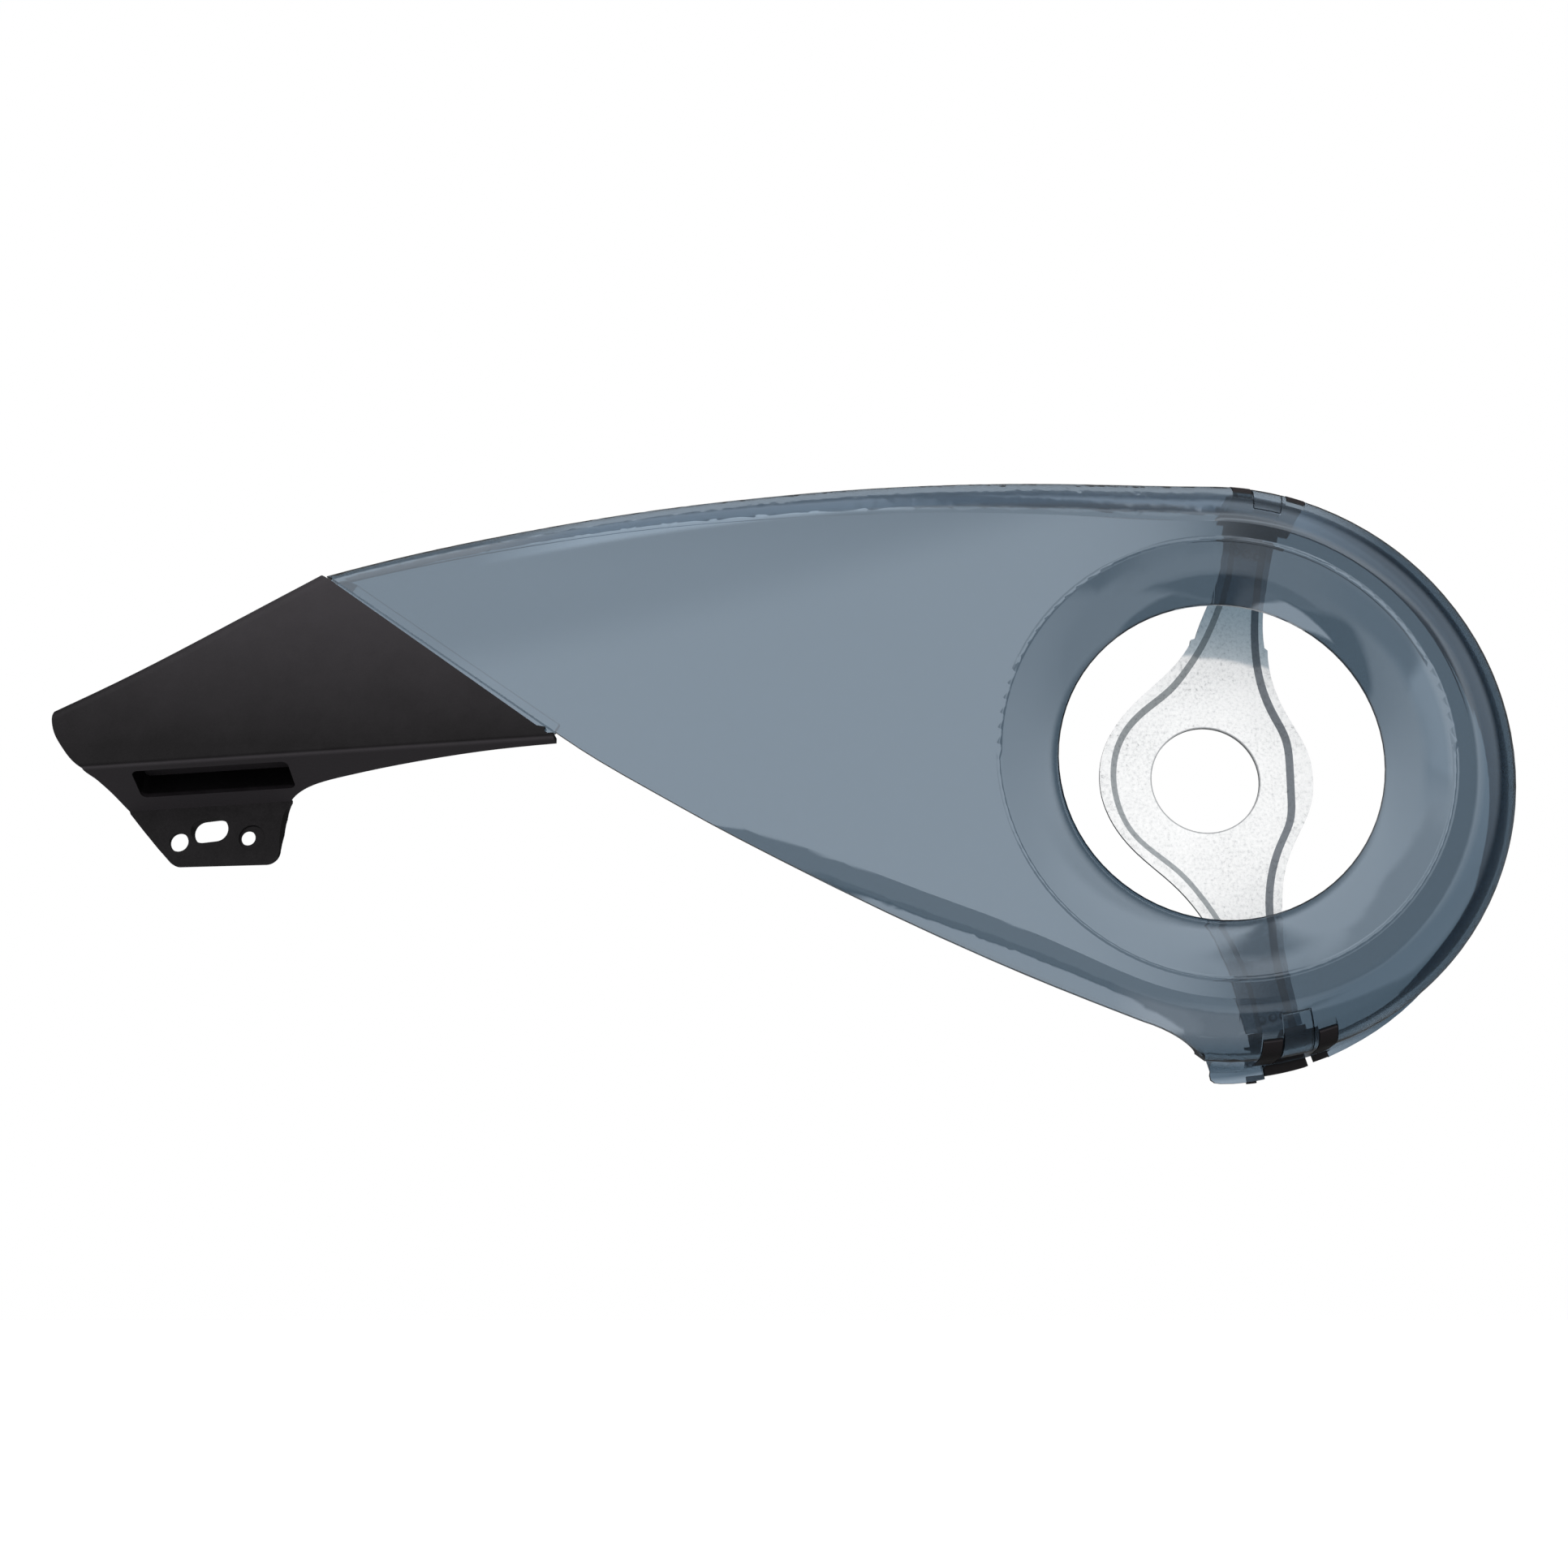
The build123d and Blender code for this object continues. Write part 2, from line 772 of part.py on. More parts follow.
pan_levels = {
    "cut": ((-pan_step - 0.5, 0.5 * step_run + 0.5 * step_run * 0.5 / pan_step), (0.0, -0.5 * step_run)),
    "back": ((-0.6, 0.5 * step_run + 0.6), (sheet_t, -0.5 * step_run + 0.6)),
}

with BuildPart() as pan_back:
    for y, d in pan_levels["back"]:
        lf, rt = shifted(step_left, d), shifted(step_right, d)
        with BuildSketch(facing(y)):
            with BuildLine():
                Spline(*lf)
                Line(lf[-1], rt[0])
                Spline(*rt)
                Line(rt[-1], lf[0])
            make_face()
    loft(ruled=True)

with BuildPart() as pan_cut:
    for y, d in pan_levels["cut"]:
        lf, rt = shifted(step_left, d), shifted(step_right, d)
        with BuildSketch(facing(y)):
            with BuildLine():
                Spline(*lf)
                Line(lf[-1], rt[0])
                Spline(*rt)
                Line(rt[-1], lf[0])
            make_face()
    loft(ruled=True)

with BuildPart() as outline:
    with BuildSketch(facing(10.0)):
        with BuildLine():
            Spline(*right_upper)
            Polyline(right_upper[-1], (21.2, 44.3), right_mid[0])
            Spline(*right_mid)
            Polyline(
                right_mid[-1],
                at(83.7, 7.0, -1),
                at(88.0, 7.0, -1),
                at(88.0, -7.0, -1),
                at(83.7, -7.0, -1),
                left_lower[0],
            )
            Spline(*left_lower)
            Polyline(left_lower[-1], (-2.9, 47.2), left_upper[0])
            Spline(*left_upper)
            Polyline(
                left_upper[-1],
                at(83.7, -7.0),
                at(88.0, -7.0),
                at(88.0, 7.0),
                at(83.7, 7.0),
                right_upper[0],
            )
        make_face()
    extrude(amount=20.0)

with BuildPart() as bracket_plate:
    with BuildSketch(facing(-pan_step + sheet_t)):
        with Locations((0, 0)):
            Rectangle(120, 240)
    extrude(amount=sheet_t)
    add(pan_back.part)
    add(outline.part, mode=Mode.INTERSECT)
    add(pan_cut.part, mode=Mode.SUBTRACT)
    with BuildSketch(facing(10.0)):
        Circle(bore_d / 2)
    extrude(amount=20.0, mode=Mode.SUBTRACT)
    # end dimples
    for side in (1, -1):
        for t in (-3.5, 0.1, 3.7):
            x, z = at(79.6, t, side)
            with Locations((x, 0.9, z)):
                Sphere(1.75)

bracket_plate.part.label = "bracket_plate"
export_step(bracket_plate.part, "parts/bracket_plate.step")

# ---------------------------------------------------------------- clips
base_half = 7.3
base_r = (88.6, 91.0)
ear_gap = 0.15
ear_r = 87.2  # inner side of the ears, behind the windows
ear_proud = 0.12
web_half = 4.6  # web between the ears, to either side of the middle
web_gap = 0.35  # to the inside of the rim
web_t = 1.4
ear_corner = 2.4
stop = (-4.4, 3.75)
stop_r = 96.7
front_lug = (5.5, 8.1)
front_lug_r = 96.0
rear_bar = (-7.6, -4.2)
rear_bar_r = (96.2, 97.6)
rear_lug = (-7.6, -5.8)
rear_lug_r = (97.0, 98.45)
mid_a = math.radians(clip_ang)
out_v = (math.cos(mid_a), 0, math.sin(mid_a))
side_v = (math.sin(mid_a), 0, -math.cos(mid_a))


def along(r, y):
    """Plane across the arm at r: x across the arm, y along Y, z outwards."""
    return Plane(
        origin=(r * out_v[0], y, r * out_v[2]), x_dir=side_v, z_dir=out_v
    )


with BuildPart() as upper_clip:
    with BuildSketch(radial(clip_ang + base_half)):
        with Locations(((-19.5 + 1.6) / 2, (base_r[0] + base_r[1]) / 2)):
            Rectangle(21.1, base_r[1] - base_r[0])
    revolve(axis=Axis.Y, revolution_arc=2 * base_half)
    # ears through the windows
    yc, r0 = face_y + rim_round, rim_r - rim_round
    ro = rim_round + ear_proud
    a0, a1 = math.radians(48.5), math.radians(69.0)
    for lo, hi in windows:
        lo, hi = lo + ear_gap, hi - ear_gap
        with BuildSketch(radial(clip_ang - lo)):
            p_out = (yc - ro * math.cos(a0), r0 + ro * math.sin(a0))
            m_out = (yc - ro * math.cos(a1), r0 + ro * math.sin(a1))
            with BuildLine():
                ThreePointArc(p_out, m_out, (yc, r0 + ro))
                Polyline(
                    (yc, r0 + ro),
                    (window_y[1] - 0.5, r0 + ro + 0.5),
                    (window_y[1] - 0.5, ear_r),
                    (p_out[0] + 0.1, ear_r),
                    p_out,
                )
            make_face()
        revolve(axis=Axis.Y, revolution_arc=hi - lo)
    # web between the ears, under the tongue
    wo = rim_round - wall_t - web_gap
    wi = wo - web_t
    b0, b1 = math.radians(50.0), math.radians(70.0)
    with BuildSketch(radial(clip_ang + web_half)):
        with BuildLine():
            ThreePointArc(
                (yc - wo * math.cos(b0), r0 + wo * math.sin(b0)),
                (yc - wo * math.cos(b1), r0 + wo * math.sin(b1)),
                (yc, r0 + wo),
            )
            Line((yc, r0 + wo), (yc, r0 + wi))
            ThreePointArc(
                (yc, r0 + wi),
                (yc - wi * math.cos(b1), r0 + wi * math.sin(b1)),
                (yc - wi * math.cos(b0), r0 + wi * math.sin(b0)),
            )
            Line(
                (yc - wi * math.cos(b0), r0 + wi * math.sin(b0)),
                (yc - wo * math.cos(b0), r0 + wo * math.sin(b0)),
            )
        make_face()
    revolve(axis=Axis.Y, revolution_arc=2 * web_half)
    # the front ear's outer corner is rounded
    end = math.radians(clip_ang - windows[1][1] + ear_gap)
    with BuildSketch(
        Plane(
            origin=(100.0 * math.cos(end), 0, 100.0 * math.sin(end)),
            x_dir=(-math.sin(end), 0, math.cos(end)),
            z_dir=(math.cos(end), 0, math.sin(end)),
        )
    ):
        e, c = -p_out[0], math.sqrt(0.5)
        with BuildLine():
            Polyline(
                (0, e - ear_corner),
                (-1.5, e - ear_corner),
                (-1.5, e + 1.5),
                (ear_corner, e + 1.5),
                (ear_corner, e),
            )
            ThreePointArc(
                (ear_corner, e),
                (ear_corner - ear_corner * c, e - ear_corner + ear_corner * c),
                (0, e - ear_corner),
            )
        make_face()
    extrude(amount=-14.0, mode=Mode.SUBTRACT)
    # stop and lugs behind the rim's rear edge
    for (lo, hi), (r_in, r_out), y0, y1 in (
        (stop, (base_r[0] + 0.2, stop_r), -2.6, 2.4),
        (front_lug, (base_r[0] + 0.2, front_lug_r), -2.6, 1.6),
        (rear_bar, rear_bar_r, 0.85, 2.3),
        (rear_lug, rear_lug_r, 0.85, 2.3),
    ):
        with BuildSketch(radial(clip_ang - lo)):
            with Locations(((y0 + y1) / 2, (r_in + r_out) / 2)):
                Rectangle(y1 - y0, r_out - r_in)
        revolve(axis=Axis.Y, revolution_arc=hi - lo)
    # socket for the plate's end
    with Locations(along((84.0 + 89.4) / 2, -0.1)):
        Box(17.4, 7.0, 5.4)
    with Locations(along((83.0 + 88.28) / 2, -0.1)):
        Box(14.5, 3.7, 5.28, mode=Mode.SUBTRACT)

upper_clip.part.label = "upper_clip"
export_step(upper_clip.part, "parts/upper_clip.step")

with BuildPart() as lower_clip:
    mirror(upper_clip.part, about=Plane.XY)

lower_clip.part.label = "lower_clip"
export_step(lower_clip.part, "parts/lower_clip.step")
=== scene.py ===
import math

import bpy
from mathutils import Matrix, Vector

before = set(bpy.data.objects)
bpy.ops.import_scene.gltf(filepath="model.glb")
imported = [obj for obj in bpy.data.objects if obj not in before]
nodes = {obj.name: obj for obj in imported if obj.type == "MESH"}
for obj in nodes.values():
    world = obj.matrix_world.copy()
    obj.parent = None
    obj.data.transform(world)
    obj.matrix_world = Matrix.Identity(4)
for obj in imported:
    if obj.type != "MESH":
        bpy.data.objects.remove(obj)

scene = bpy.context.scene
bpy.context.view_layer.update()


# ------------------------------------------------------------------ helpers
def new_material(name):
    m = bpy.data.materials.new(name)
    m.use_nodes = True
    t = m.node_tree
    t.nodes.clear()
    out = t.nodes.new("ShaderNodeOutputMaterial")
    bsdf = t.nodes.new("ShaderNodeBsdfPrincipled")
    t.links.new(bsdf.outputs["BSDF"], out.inputs["Surface"])
    return m, t, bsdf, out


def coords(t, scale=(1.0, 1.0, 1.0)):
    tc = t.nodes.new("ShaderNodeTexCoord")
    mp = t.nodes.new("ShaderNodeMapping")
    mp.inputs["Scale"].default_value = scale
    t.links.new(tc.outputs["Object"], mp.inputs["Vector"])
    return mp.outputs["Vector"]


def noise(t, vec, scale, detail=2.0, rough=0.5):
    n = t.nodes.new("ShaderNodeTexNoise")
    n.inputs["Scale"].default_value = scale
    n.inputs["Detail"].default_value = detail
    n.inputs["Roughness"].default_value = rough
    t.links.new(vec, n.inputs["Vector"])
    return n.outputs["Fac"]


def ramp(t, fac, stops):
    r = t.nodes.new("ShaderNodeValToRGB")
    e = r.color_ramp.elements
    while len(e) > 1:
        e.remove(e[-1])
    e[0].position, e[0].color = stops[0][0], (*stops[0][1], 1.0)
    for p, c in stops[1:]:
        k = e.new(p)
        k.color = (*c, 1.0)
    t.links.new(fac, r.inputs["Fac"])
    return r.outputs["Color"]


def span(t, fac, a, b, lo, hi):
    m = t.nodes.new("ShaderNodeMapRange")
    m.inputs["From Min"].default_value = a
    m.inputs["From Max"].default_value = b
    m.inputs["To Min"].default_value = lo
    m.inputs["To Max"].default_value = hi
    t.links.new(fac, m.inputs["Value"])
    return m.outputs["Result"]


def calc(t, op, a, b=None):
    n = t.nodes.new("ShaderNodeMath")
    n.operation = op
    for i, v in enumerate((a, b)):
        if v is None:
            continue
        if isinstance(v, (int, float)):
            n.inputs[i].default_value = v
        else:
            t.links.new(v, n.inputs[i])
    return n.outputs[0]


def blend(t, fac, a, b, how="MIX"):
    n = t.nodes.new("ShaderNodeMix")
    n.data_type = "RGBA"
    n.blend_type = how
    for i, v in ((0, fac), (6, a), (7, b)):
        if isinstance(v, float):
            n.inputs[i].default_value = v
        elif isinstance(v, tuple):
            n.inputs[i].default_value = (*v, 1.0)
        else:
            t.links.new(v, n.inputs[i])
    return n.outputs[2]


def axes(t, output):
    tc = t.nodes.new("ShaderNodeTexCoord")
    sep = t.nodes.new("ShaderNodeSeparateXYZ")
    t.links.new(tc.outputs[output], sep.inputs[0])
    return sep.outputs["X"], sep.outputs["Y"], sep.outputs["Z"]


def bump(t, bsdf, height, strength, distance):
    b = t.nodes.new("ShaderNodeBump")
    b.inputs["Strength"].default_value = strength
    b.inputs["Distance"].default_value = distance
    t.links.new(height, b.inputs["Height"])
    t.links.new(b.outputs["Normal"], bsdf.inputs["Normal"])


def wear(obj, material):
    obj.data.materials.clear()
    obj.data.materials.append(material)


# ------------------------------------------------------------------ materials
def smoked():
    """Polished see-through smoke-grey plastic; lamps shine through it tinted."""
    m, t, b, out = new_material("smoked_plastic")
    v = coords(t)
    cloud = noise(t, v, 9.0, 3.0, 0.5)
    face = ramp(t, cloud, [(0.25, (0.060, 0.095, 0.132)), (0.75, (0.065, 0.102, 0.140))])
    x, _, z = axes(t, "Object")
    front = span(t, x, -0.012, -0.003, 0.0, 1.0)
    dx, dz = calc(t, "ADD", x, 0.0071), calc(t, "ADD", z, 0.0086)
    arc = calc(t, "SQRT", calc(t, "ADD", calc(t, "MULTIPLY", dx, dx), calc(t, "MULTIPLY", dz, dz)))
    bx = calc(t, "ADD", x, 0.05)
    line = calc(t, "SUBTRACT", 0.0823, calc(t, "MULTIPLY", calc(t, "MULTIPLY", bx, bx), 0.6))
    top = calc(
        t,
        "MULTIPLY",
        span(t, calc(t, "SUBTRACT", z, line), -0.0004, 0.0010, 0.0, 1.0),
        span(t, x, -0.235, -0.200, 0.0, 1.0),
    )
    rim = calc(
        t,
        "ADD",
        calc(t, "MULTIPLY", front, span(t, arc, 0.0878, 0.0894, 0.0, 1.0)),
        calc(t, "MULTIPLY", calc(t, "SUBTRACT", 1.0, front), top),
    )
    # Painted light: the top band and the left part of the round end's rim get a lighter see-through tint; the right
    # rim keeps the plain tint.
    painted_rim_light = blend(t, span(t, x, 0.028, 0.055, 0.0, 1.0), (0.22, 0.28, 0.345), (0.06, 0.095, 0.132))
    radius = calc(t, "SQRT", calc(t, "ADD", calc(t, "MULTIPLY", x, x), calc(t, "MULTIPLY", z, z)))
    # Painted light: a lighter see-through tint on the lower rim band near the bottom clip.
    painted_under_light = calc(t, "MULTIPLY", span(t, radius, 0.0790, 0.0810, 0.0, 1.0), span(t, x, 0.002, 0.018, 1.0, 0.0))
    painted_under_light = calc(t, "MULTIPLY", painted_under_light, span(t, x, -0.038, -0.026, 0.0, 1.0))
    painted_under_light = calc(t, "MULTIPLY", painted_under_light, span(t, z, -0.062, -0.069, 0.0, 1.0))
    painted_under_light = calc(t, "MULTIPLY", painted_under_light, span(t, z, -0.091, -0.086, 0.0, 1.0))
    tint = blend(t, painted_under_light, face, (0.115, 0.150, 0.190))
    t.links.new(blend(t, rim, tint, painted_rim_light), b.inputs["Base Color"])
    # Painted shade: the coat is taken off the rim, the bottom edge and a band of the right dish, so these places
    # reflect less than the rest of the shell.
    edge = calc(t, "MULTIPLY", span(t, x, 0.005, 0.03, 0.0, 1.0), span(t, radius, 0.077, 0.0795, 0.0, 1.0))
    edge = calc(t, "MAXIMUM", edge, span(t, z, -0.086, -0.090, 0.0, 1.0))
    dish = calc(t, "MULTIPLY", span(t, radius, 0.0600, 0.0625, 0.0, 1.0), span(t, radius, 0.0690, 0.0675, 0.0, 0.55))
    dish = calc(t, "MULTIPLY", dish, span(t, z, -0.020, -0.005, 0.0, 1.0))
    edge = calc(t, "MAXIMUM", edge, calc(t, "MULTIPLY", dish, span(t, x, 0.028, 0.045, 0.0, 1.0)))
    t.links.new(span(t, calc(t, "MAXIMUM", rim, edge), 0.0, 1.0, 1.0, 0.05), b.inputs["Coat Weight"])
    fine = noise(t, v, 260.0, 4.0, 0.6)
    t.links.new(span(t, fine, 0.3, 0.7, 0.02, 0.045), b.inputs["Roughness"])
    b.inputs["Transmission Weight"].default_value = 1.0
    b.inputs["IOR"].default_value = 1.8
    b.inputs["Specular Tint"].default_value = (0.62, 0.80, 1.0, 1.0)
    b.inputs["Coat Roughness"].default_value = 0.05
    b.inputs["Coat IOR"].default_value = 1.6
    clear = t.nodes.new("ShaderNodeBsdfTransparent")
    clear.inputs["Color"].default_value = (0.38, 0.50, 0.57, 1.0)
    path = t.nodes.new("ShaderNodeLightPath")
    mix = t.nodes.new("ShaderNodeMixShader")
    t.links.new(path.outputs["Is Shadow Ray"], mix.inputs["Fac"])
    t.links.new(b.outputs["BSDF"], mix.inputs[1])
    t.links.new(clear.outputs["BSDF"], mix.inputs[2])
    t.links.new(mix.outputs["Shader"], out.inputs["Surface"])
    return m


def black_plastic(name, low, high, z0, z1, rough_lo, rough_hi, grain, bump_mm, level):
    """Fine-grained black moulding with painted light: from the low tone at height z0 to the lighter high tone at z1,
    and lighter on faces turned downwards.
    """
    m, t, b, _ = new_material(name)
    v = coords(t)
    # Painted light: lighter towards the top, darker towards the bottom.
    height = span(t, axes(t, "Object")[2], z0, z1, 0.0, 1.0)
    # Painted light: faces turned downwards are lighter, as if lit from below.
    painted_under_light = span(t, axes(t, "Normal")[2], -0.30, -0.55, 0.0, 0.95)
    patch = calc(t, "MULTIPLY", noise(t, v, 70.0, 6.0, 0.7), 0.36)
    tone = calc(t, "ADD", calc(t, "MAXIMUM", height, painted_under_light), calc(t, "SUBTRACT", patch, 0.10))
    t.links.new(ramp(t, tone, [(0.05, low), (1.0, high)]), b.inputs["Base Color"])
    pores = noise(t, v, grain, 3.0, 0.6)
    t.links.new(span(t, pores, 0.3, 0.7, rough_lo, rough_hi), b.inputs["Roughness"])
    bump(t, b, pores, 0.5, bump_mm * 1e-3)
    b.inputs["IOR"].default_value = 1.5
    b.inputs["Specular IOR Level"].default_value = level
    return m


def zinc():
    """Zinc coat with dark specks; painted shade darkens the bends and cut edges, faces turned left most, and rings
    the hole's edge.
    """
    m, t, b, _ = new_material("zinc_plate")
    v = coords(t)
    speck = noise(t, v, 900.0, 3.0, 0.7)
    big = noise(t, v, 45.0, 4.0, 0.6)
    grain = calc(t, "ADD", calc(t, "MULTIPLY", big, 0.35), speck)
    flats = ramp(
        t,
        grain,
        [
            (0.42, (0.28, 0.285, 0.29)),
            (0.52, (0.62, 0.625, 0.63)),
            (0.66, (0.76, 0.765, 0.765)),
            (0.85, (0.84, 0.84, 0.84)),
        ],
    )
    # Painted shade: faces not turned to the front or back (bends, steps, cut edges) are darkened, faces turned left
    # more than faces turned right.
    nx, ny, _ = axes(t, "Normal")
    flat = span(t, calc(t, "ABSOLUTE", ny), 0.84, 0.97, 0.0, 1.0)
    painted_bend_shade = blend(t, span(t, nx, -0.3, 0.3, 0.0, 1.0), (0.21, 0.23, 0.255), (0.42, 0.445, 0.46))
    x, _, z = axes(t, "Object")
    radius = calc(t, "SQRT", calc(t, "ADD", calc(t, "MULTIPLY", x, x), calc(t, "MULTIPLY", z, z)))
    tone = blend(t, flat, painted_bend_shade, (1.0, 1.0, 1.0))
    # Painted shade: a darker ring along the edge of the round hole.
    tone = blend(t, span(t, radius, 0.01775, 0.0180, 0.0, 1.0), (0.42, 0.43, 0.44), tone)
    t.links.new(blend(t, 1.0, flats, tone, "MULTIPLY"), b.inputs["Base Color"])
    b.inputs["Metallic"].default_value = 0.35
    t.links.new(span(t, speck, 0.3, 0.7, 0.42, 0.56), b.inputs["Roughness"])
    bump(t, b, speck, 0.25, 0.00008)
    return m


wear(nodes["guard_shell"], smoked())
# Tail: painted light, near black at the bottom and lighter towards the top, lighter again on faces turned downwards.
wear(
    nodes["tail_piece"],
    black_plastic(
        "tail_black", (0.0030, 0.0025, 0.0030), (0.027, 0.0245, 0.0275), 0.004, 0.066, 0.42, 0.56, 1500.0, 0.07, 0.16
    ),
)
wear(nodes["bracket_plate"], zinc())
# Clips: one near-black tone with painted light on faces turned downwards.
clip_mat = black_plastic(
    "clip_black", (0.010, 0.008, 0.0095), (0.012, 0.010, 0.0115), -0.1, 0.1, 0.40, 0.55, 1100.0, 0.05, 0.25
)
wear(nodes["upper_clip"], clip_mat)
wear(nodes["lower_clip"], clip_mat)

# ------------------------------------------------------------------ stage
mesh = bpy.data.meshes.new("floor")
s = 6.0
z = -0.30
mesh.from_pydata([(-s, -s, z), (s, -s, z), (s, s, z), (-s, s, z)], [], [(0, 1, 2, 3)])
floor = bpy.data.objects.new("floor", mesh)
scene.collection.objects.link(floor)
fm, ft, fb, _ = new_material("floor_paper")
ft.links.new(
    ramp(ft, noise(ft, coords(ft), 3.0), [(0.3, (0.90, 0.90, 0.90)), (0.7, (0.92, 0.92, 0.92))]),
    fb.inputs["Base Color"],
)
fb.inputs["Roughness"].default_value = 0.9
fb.inputs["Emission Color"].default_value = (1.0, 1.0, 1.0, 1.0)
fb.inputs["Emission Strength"].default_value = 0.35
floor.data.materials.append(fm)
floor.visible_glossy = False
floor.visible_transmission = False
floor.visible_diffuse = False

# world: a white room; in front of the object one broad soft panel with dimmer gaps round it
world = bpy.data.worlds.new("studio")
scene.world = world
world.use_nodes = True
wt = world.node_tree
wt.nodes.clear()
w_out = wt.nodes.new("ShaderNodeOutputWorld")
bg = wt.nodes.new("ShaderNodeBackground")
wt.links.new(bg.outputs[0], w_out.inputs["Surface"])
tc = wt.nodes.new("ShaderNodeTexCoord")
sep = wt.nodes.new("ShaderNodeSeparateXYZ")
wt.links.new(tc.outputs["Generated"], sep.inputs[0])


def wmath(op, a, b=None):
    return calc(wt, op, a, b)


def wstep(x, lo, hi):
    n = wt.nodes.new("ShaderNodeMapRange")
    n.interpolation_type = "SMOOTHSTEP"
    n.inputs["From Min"].default_value = lo
    n.inputs["From Max"].default_value = hi
    wt.links.new(x, n.inputs["Value"])
    return n.outputs["Result"]


def window(x, lo, hi, soft):
    return wmath("MULTIPLY", wstep(x, lo - soft, lo + soft), wstep(x, hi + soft, hi - soft))


def toward(value, target, mask):
    """value moved to target where mask is 1"""
    n = wt.nodes.new("ShaderNodeMix")
    wt.links.new(mask, n.inputs[0])
    wt.links.new(value, n.inputs[2])
    n.inputs[3].default_value = target
    return n.outputs[0]


DEG = 180.0 / math.pi
elev = wmath("MULTIPLY", wmath("ARCSINE", sep.outputs["Z"]), DEG)
azim = wmath("MULTIPLY", wmath("ARCTAN2", sep.outputs["X"], wmath("MULTIPLY", sep.outputs["Y"], -1.0)), DEG)

TOP = 1.8


def el(deg):
    return 0.5 + deg / 180.0


def grey(v):
    return (v / TOP, v / TOP, v / TOP)


fac = span(wt, elev, -90.0, 90.0, 0.0, 1.0)
base = ramp(
    wt,
    fac,
    [
        (el(-90), grey(0.9)),
        (el(-50), grey(0.95)),
        (el(-46), grey(0.30)),
        (el(-40), grey(0.10)),
        (el(-14), grey(0.10)),
        (el(-10), grey(0.62)),
        (el(0), grey(0.78)),
        (el(10), grey(1.0)),
        (el(20), grey(1.18)),
        (el(35), grey(1.35)),
        (el(60), grey(1.4)),
        (el(90), grey(1.2)),
    ],
)
e = wmath("MULTIPLY", base, TOP)
e = toward(e, 1.35, wmath("MULTIPLY", window(azim, -42.0, -9.0, 3.0), wstep(elev, -31.0, -35.0)))
e = toward(e, 0.35, wmath("MULTIPLY", window(azim, -8.0, 7.0, 3.0), wstep(elev, -29.0, -31.0)))
e = toward(e, 0.50, wmath("MULTIPLY", window(azim, -14.0, 24.0, 3.0), window(elev, -30.0, 3.5, 1.0)))
e = toward(e, 0.28, wmath("MULTIPLY", window(azim, -14.0, 6.0, 3.0), window(elev, -30.0, -21.0, 1.5)))
e = toward(e, 0.16, wmath("MULTIPLY", window(azim, 5.0, 32.0, 3.0), window(elev, -75.0, -22.0, 1.5)))
e = toward(e, 0.62, wmath("MULTIPLY", window(azim, 5.0, 32.0, 3.0), window(elev, -19.0, -10.0, 2.0)))
low_right = window(azim, 27.0, 80.0, 4.0)
e = toward(e, 0.66, wmath("MULTIPLY", low_right, wstep(elev, -2.0, -8.0)))
e = toward(e, 0.16, wmath("MULTIPLY", low_right, wstep(elev, -30.0, -36.0)))
e = toward(e, 0.90, wmath("MULTIPLY", window(azim, -15.0, 18.0, 3.0), window(elev, 21.0, 36.0, 2.0)))
e = toward(e, 1.40, wmath("MULTIPLY", window(azim, -80.0, 19.0, 3.0), wstep(elev, 33.0, 42.0)))
e = toward(e, 0.42, wmath("MULTIPLY", window(azim, 4.0, 19.0, 5.0), wstep(elev, 34.0, 44.0)))
e = toward(e, 0.26, wmath("MULTIPLY", window(azim, 11.5, 26.0, 2.0), window(elev, -6.0, 22.0, 2.0)))
leaning = wmath("SUBTRACT", elev, wmath("MULTIPLY", azim, 0.25))
panel = wmath("MULTIPLY", wmath("MULTIPLY", wstep(azim, -24.0, -10.0), wstep(azim, 13.0, 7.0)), wstep(elev, 2.3, 4.7))
e = toward(e, 1.45, wmath("MULTIPLY", panel, wstep(leaning, 20.2, 18.6)))
e = toward(e, 1.45, wmath("MULTIPLY", window(azim, 22.0, 42.0, 5.0), window(elev, 28.0, 72.0, 8.0)))
e = toward(e, 1.10, wmath("MULTIPLY", window(azim, 44.0, 80.0, 6.0), window(elev, 28.0, 72.0, 8.0)))
e = toward(e, 1.6, wmath("MULTIPLY", window(azim, 2.0, 19.0, 3.0), window(elev, 27.2, 28.8, 0.8)))
e = wmath("MULTIPLY", e, 1.15)
# dark sides and back for mirror reflections, even light for the rest
dim = wmath("ADD", wmath("MULTIPLY", wstep(elev, 40.0, 70.0), 0.14), 0.10)
mix = wt.nodes.new("ShaderNodeMix")
wt.links.new(wstep(sep.outputs["Y"], -0.42, -0.12), mix.inputs[0])
wt.links.new(e, mix.inputs[2])
wt.links.new(dim, mix.inputs[3])
e = mix.outputs[0]
lp = wt.nodes.new("ShaderNodeLightPath")
even = wmath("ADD", wmath("MULTIPLY", wstep(elev, -20.0, 10.0), 0.15), 0.65)
mix = wt.nodes.new("ShaderNodeMix")
wt.links.new(lp.outputs["Is Diffuse Ray"], mix.inputs[0])
wt.links.new(e, mix.inputs[2])
wt.links.new(even, mix.inputs[3])
e = mix.outputs[0]
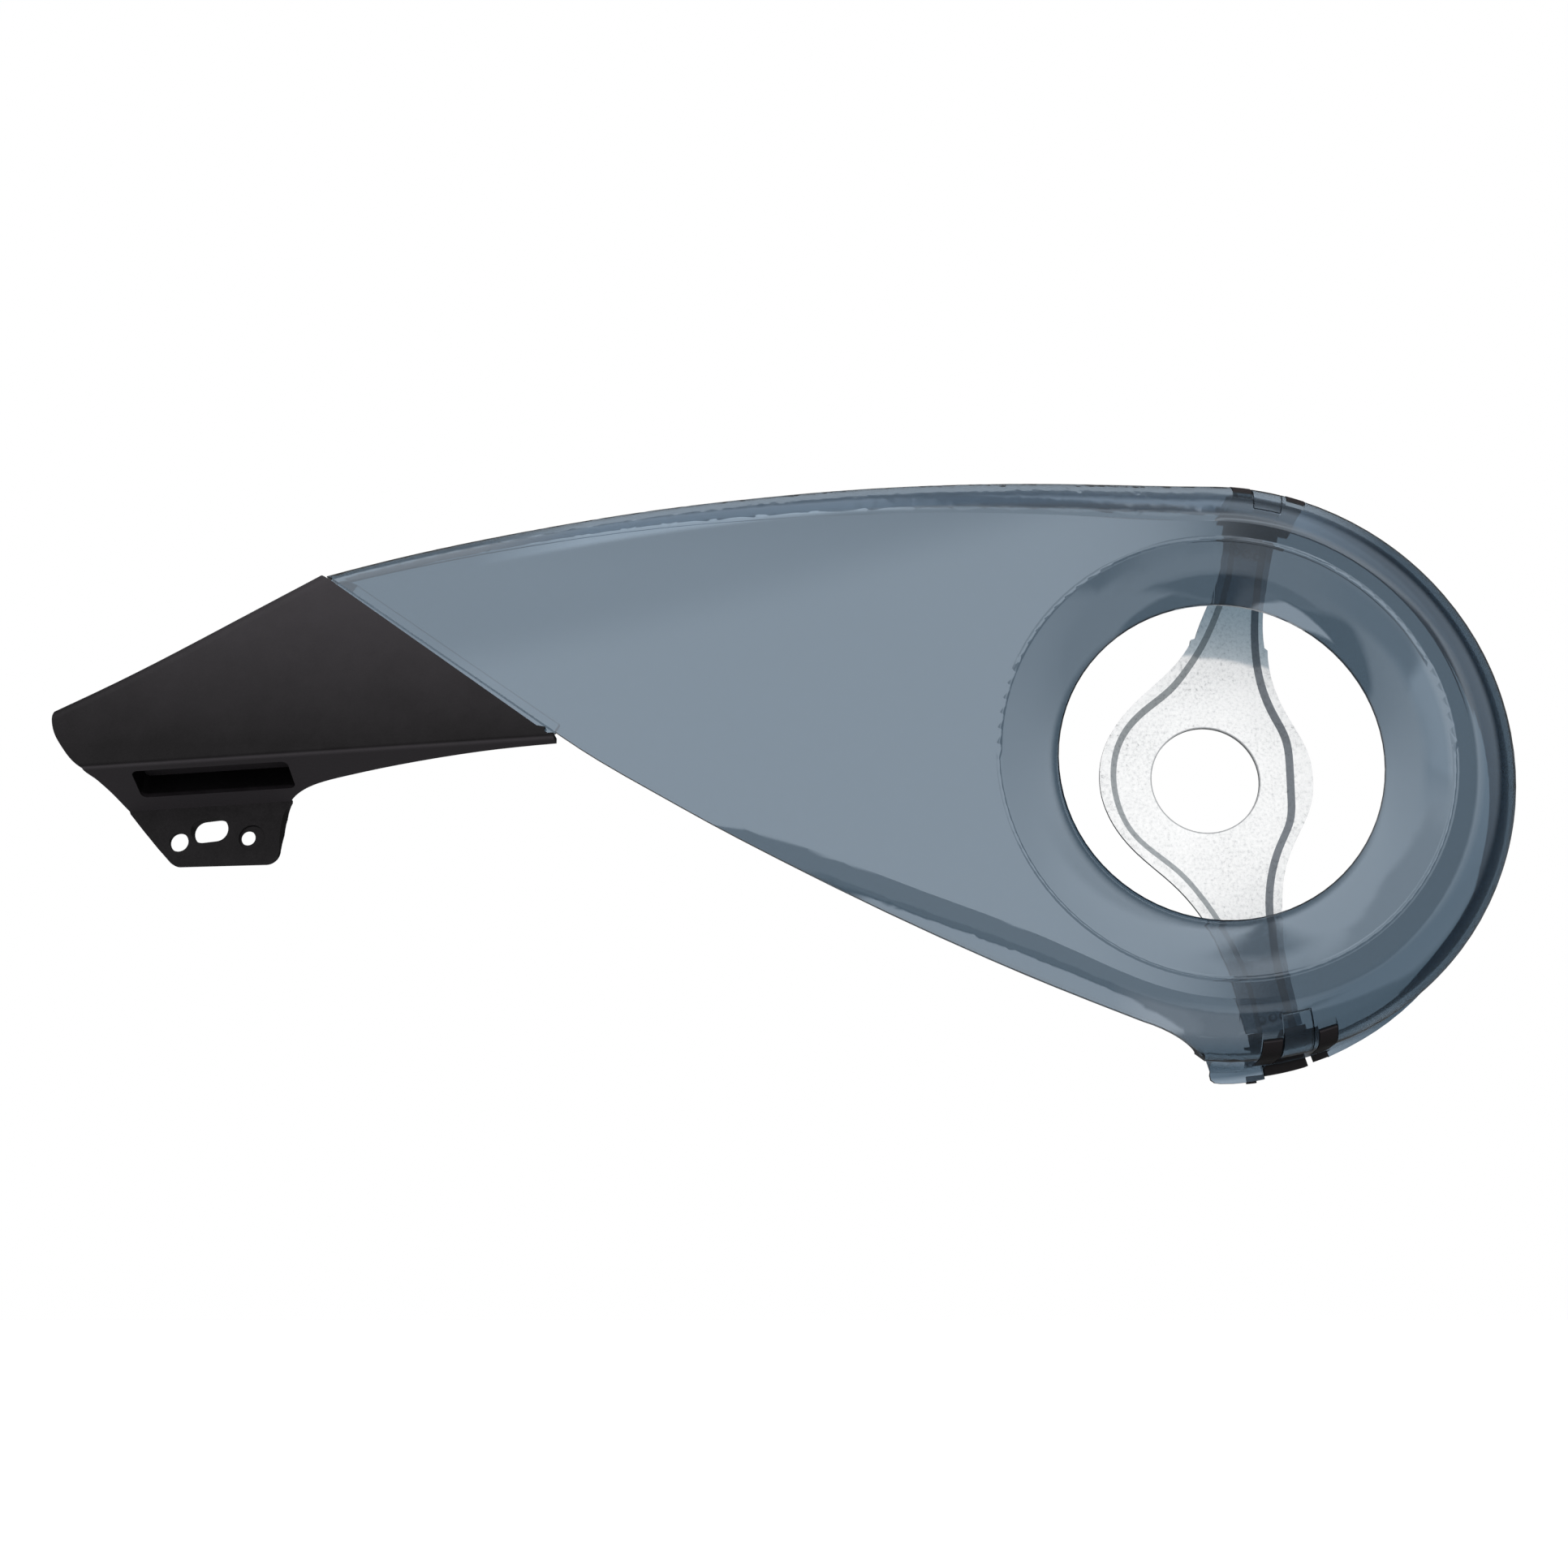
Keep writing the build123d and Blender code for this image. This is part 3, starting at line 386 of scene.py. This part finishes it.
plain = wmath("MAXIMUM", lp.outputs["Is Camera Ray"], lp.outputs["Is Transmission Ray"])
e = toward(e, 1.0, plain)
tint = wt.nodes.new("ShaderNodeCombineColor")
wt.links.new(e, tint.inputs[0])
wt.links.new(e, tint.inputs[1])
wt.links.new(e, tint.inputs[2])
wt.links.new(tint.outputs[0], bg.inputs["Color"])
bg.inputs["Strength"].default_value = 1.0


def area(name, loc, target, size, power):
    d = bpy.data.lights.new(name, "AREA")
    d.shape = "DISK"
    d.size = size
    d.energy = power
    o = bpy.data.objects.new(name, d)
    o.location = loc
    o.rotation_euler = (Vector(target) - Vector(loc)).to_track_quat("-Z", "Y").to_euler()
    scene.collection.objects.link(o)
    o.visible_camera = False
    o.visible_glossy = False
    o.visible_transmission = False
    return o


area("key", (-0.02, -2.2, 0.80), (0.0, 0.0, 0.0), 0.13, 48.0)

# ------------------------------------------------------------------ camera
F_PX, SIDE = 2500.0, 1932.0
AZ, EL = math.radians(0.8), math.radians(-13.59)
T = Vector((-0.13713, 0.0, -0.00083))
fwd = Vector((-math.sin(AZ) * math.cos(EL), math.cos(AZ) * math.cos(EL), -math.sin(EL)))
right = Vector((math.cos(AZ), math.sin(AZ), 0.0))
up = right.cross(fwd)
cam_d = bpy.data.cameras.new("camera")
cam_d.sensor_fit = "HORIZONTAL"
cam_d.sensor_width = 36.0
cam_d.lens = 36.0 * F_PX / SIDE
cam_d.clip_start = 0.01
cam_d.clip_end = 50.0
cam = bpy.data.objects.new("camera", cam_d)
loc = T - fwd * 0.66175
cam.matrix_world = Matrix(
    (
        (right.x, up.x, -fwd.x, loc.x),
        (right.y, up.y, -fwd.y, loc.y),
        (right.z, up.z, -fwd.z, loc.z),
        (0, 0, 0, 1),
    )
)
scene.collection.objects.link(cam)
scene.camera = cam

scene.view_settings.view_transform = "Standard"
scene.view_settings.look = "None"
scene.cycles.max_bounces = 16
scene.cycles.transmission_bounces = 14
scene.cycles.transparent_max_bounces = 16
scene.cycles.use_denoising = True
